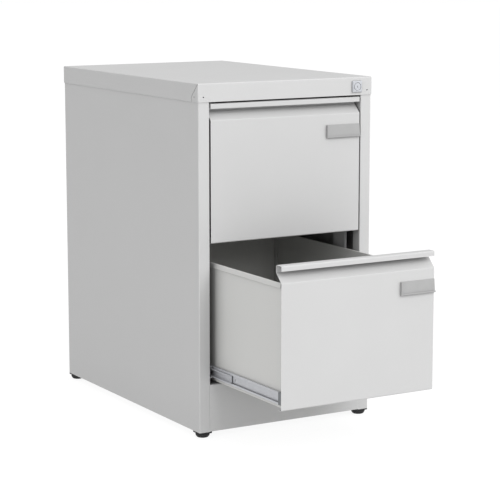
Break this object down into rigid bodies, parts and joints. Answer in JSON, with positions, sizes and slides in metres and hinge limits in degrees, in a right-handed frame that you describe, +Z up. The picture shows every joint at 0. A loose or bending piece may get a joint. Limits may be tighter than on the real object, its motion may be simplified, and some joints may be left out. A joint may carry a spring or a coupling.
{
  "type": "filing cabinet",
  "caption": "Low steel filing cabinet with stacked drawers on telescopic runners, folded grip rails, label holders, a cam lock and levelling feet.",
  "frame": {"origin": "on the floor, under the centre of the whole object's box as it stands with the lower drawer open 275 mm", "axes": "+Z up, +Y towards the back, drawers open towards -Y, +X to the right as seen from the front"},
  "size_m": [0.42, 0.919, 0.733],
  "materials": {
    "cabinet_paint": "light grey powder coat, fine orange peel, satin",
    "front_paint": "light grey powder coat, fine orange peel, satin",
    "drawer_paint": "warm light grey powder coat, satin",
    "inner_paint": "light grey powder coat, satin",
    "runner_zinc": "zinc plated, cold rolled",
    "fastener_steel": "zinc plated",
    "ball_cage": "pressed strip with steel balls",
    "lock_metal": "satin nickel plated die casting",
    "holder_plastic": "mid grey, satin",
    "buffer_plastic": "dark grey, matt",
    "foot_plastic": "black, matt"
  },
  "bodies": {
    "carcass": {"side_panel_left": "cabinet_paint", "side_panel_right": "cabinet_paint", "back_panel": "cabinet_paint", "lid": "cabinet_paint", "lid_rivets": "fastener_steel", "header_rail": "inner_paint", "plinth_panel": "cabinet_paint", "base_pan": "inner_paint", "upright_front_left": "inner_paint", "upright_front_right": "inner_paint", "upright_rear_left": "inner_paint", "upright_rear_right": "inner_paint", "foot_brackets": "fastener_steel", "corner_plates": "foot_plastic", "lock_housing": "lock_metal", "lock_nut": "fastener_steel", "lock_bar_guides": "foot_plastic", "upper_fixed_rail_left": "runner_zinc", "upper_fixed_rail_right": "runner_zinc", "lower_fixed_rail_left": "runner_zinc", "lower_fixed_rail_right": "runner_zinc"},
    "upper_drawer": {"upper_front": "front_paint", "upper_front_liner": "drawer_paint", "upper_side_left": "drawer_paint", "upper_side_right": "drawer_paint", "upper_bottom": "drawer_paint", "upper_back": "drawer_paint", "upper_label_holder": "holder_plastic", "upper_drawer_rail_left": "runner_zinc", "upper_drawer_rail_right": "runner_zinc", "upper_rail_buffers": "buffer_plastic", "upper_rail_rivets": "fastener_steel", "upper_lock_catch": "fastener_steel"},
    "lower_drawer": {"lower_front": "front_paint", "lower_front_liner": "drawer_paint", "lower_side_left": "drawer_paint", "lower_side_right": "drawer_paint", "lower_bottom": "drawer_paint", "lower_back": "drawer_paint", "lower_label_holder": "holder_plastic", "lower_drawer_rail_left": "runner_zinc", "lower_drawer_rail_right": "runner_zinc", "lower_rail_buffers": "buffer_plastic", "lower_rail_rivets": "fastener_steel", "lower_lock_catch": "fastener_steel"},
    "upper_middle": {"upper_middle_rails": "runner_zinc"},
    "lower_middle": {"lower_middle_rails": "runner_zinc"},
    "upper_outer_cages": {"upper_outer_ball_cages": "ball_cage"},
    "upper_inner_cages": {"upper_inner_ball_cages": "ball_cage"},
    "lower_outer_cages": {"lower_outer_ball_cages": "ball_cage"},
    "lower_inner_cages": {"lower_inner_ball_cages": "ball_cage"},
    "lock_cylinder": {"lock_plug": "lock_metal", "lock_cam": "fastener_steel"},
    "locking_bar": {"lock_bar": "fastener_steel"},
    "foot_front_left": {"foot_front_left": "foot_plastic"},
    "foot_front_right": {"foot_front_right": "foot_plastic"},
    "foot_rear_left": {"foot_rear_left": "foot_plastic"},
    "foot_rear_right": {"foot_rear_right": "foot_plastic"}
  },
  "joints": [
    {"name": "upper_drawer_slide", "type": "slide", "parent": "carcass", "child": "upper_drawer", "axis": [0, -1, 0], "range_m": [0, 0.5]},
    {"name": "lower_drawer_slide", "type": "slide", "parent": "carcass", "child": "lower_drawer", "axis": [0, -1, 0], "range_m": [-0.275, 0.225]},
    {"name": "upper_middle_slide", "type": "slide", "parent": "carcass", "child": "upper_middle", "axis": [0, -1, 0], "range_m": [0, 0.25]},
    {"name": "upper_outer_cage_slide", "type": "slide", "parent": "carcass", "child": "upper_outer_cages", "axis": [0, -1, 0], "range_m": [0, 0.125]},
    {"name": "upper_inner_cage_slide", "type": "slide", "parent": "carcass", "child": "upper_inner_cages", "axis": [0, -1, 0], "range_m": [0, 0.375]},
    {"name": "lower_middle_slide", "type": "slide", "parent": "carcass", "child": "lower_middle", "axis": [0, -1, 0], "range_m": [-0.1375, 0.1125]},
    {"name": "lower_outer_cage_slide", "type": "slide", "parent": "carcass", "child": "lower_outer_cages", "axis": [0, -1, 0], "range_m": [-0.06875, 0.05625]},
    {"name": "lower_inner_cage_slide", "type": "slide", "parent": "carcass", "child": "lower_inner_cages", "axis": [0, -1, 0], "range_m": [-0.20625, 0.16875]},
    {"name": "lock_turn", "type": "hinge", "parent": "carcass", "child": "lock_cylinder", "pos_m": [0.171, -0.18045, 0.713], "axis": [0, 1, 0], "range_deg": [0, 90]},
    {"name": "locking_bar_slide", "type": "slide", "parent": "carcass", "child": "locking_bar", "axis": [0, 0, -1], "range_m": [0, 0.012]},
    {"name": "foot_front_left_turn", "type": "hinge", "parent": "carcass", "child": "foot_front_left", "pos_m": [-0.1935, -0.16395, 0], "axis": [0, 0, 1], "continuous": true},
    {"name": "foot_front_right_turn", "type": "hinge", "parent": "carcass", "child": "foot_front_right", "pos_m": [0.1935, -0.16395, 0], "axis": [0, 0, 1], "continuous": true},
    {"name": "foot_rear_left_turn", "type": "hinge", "parent": "carcass", "child": "foot_rear_left", "pos_m": [-0.1935, 0.44305, 0], "axis": [0, 0, 1], "continuous": true},
    {"name": "foot_rear_right_turn", "type": "hinge", "parent": "carcass", "child": "foot_rear_right", "pos_m": [0.1935, 0.44305, 0], "axis": [0, 0, 1], "continuous": true}
  ],
  "couplings": [
    {"joint": "upper_middle_slide", "follows": "upper_drawer_slide", "ratio": 0.5},
    {"joint": "upper_outer_cage_slide", "follows": "upper_drawer_slide", "ratio": 0.25},
    {"joint": "upper_inner_cage_slide", "follows": "upper_drawer_slide", "ratio": 0.75},
    {"joint": "lower_middle_slide", "follows": "lower_drawer_slide", "ratio": 0.5},
    {"joint": "lower_outer_cage_slide", "follows": "lower_drawer_slide", "ratio": 0.25},
    {"joint": "lower_inner_cage_slide", "follows": "lower_drawer_slide", "ratio": 0.75},
    {"joint": "lock_turn", "follows": "locking_bar_slide", "rad_per_m": 130.9}
  ]
}
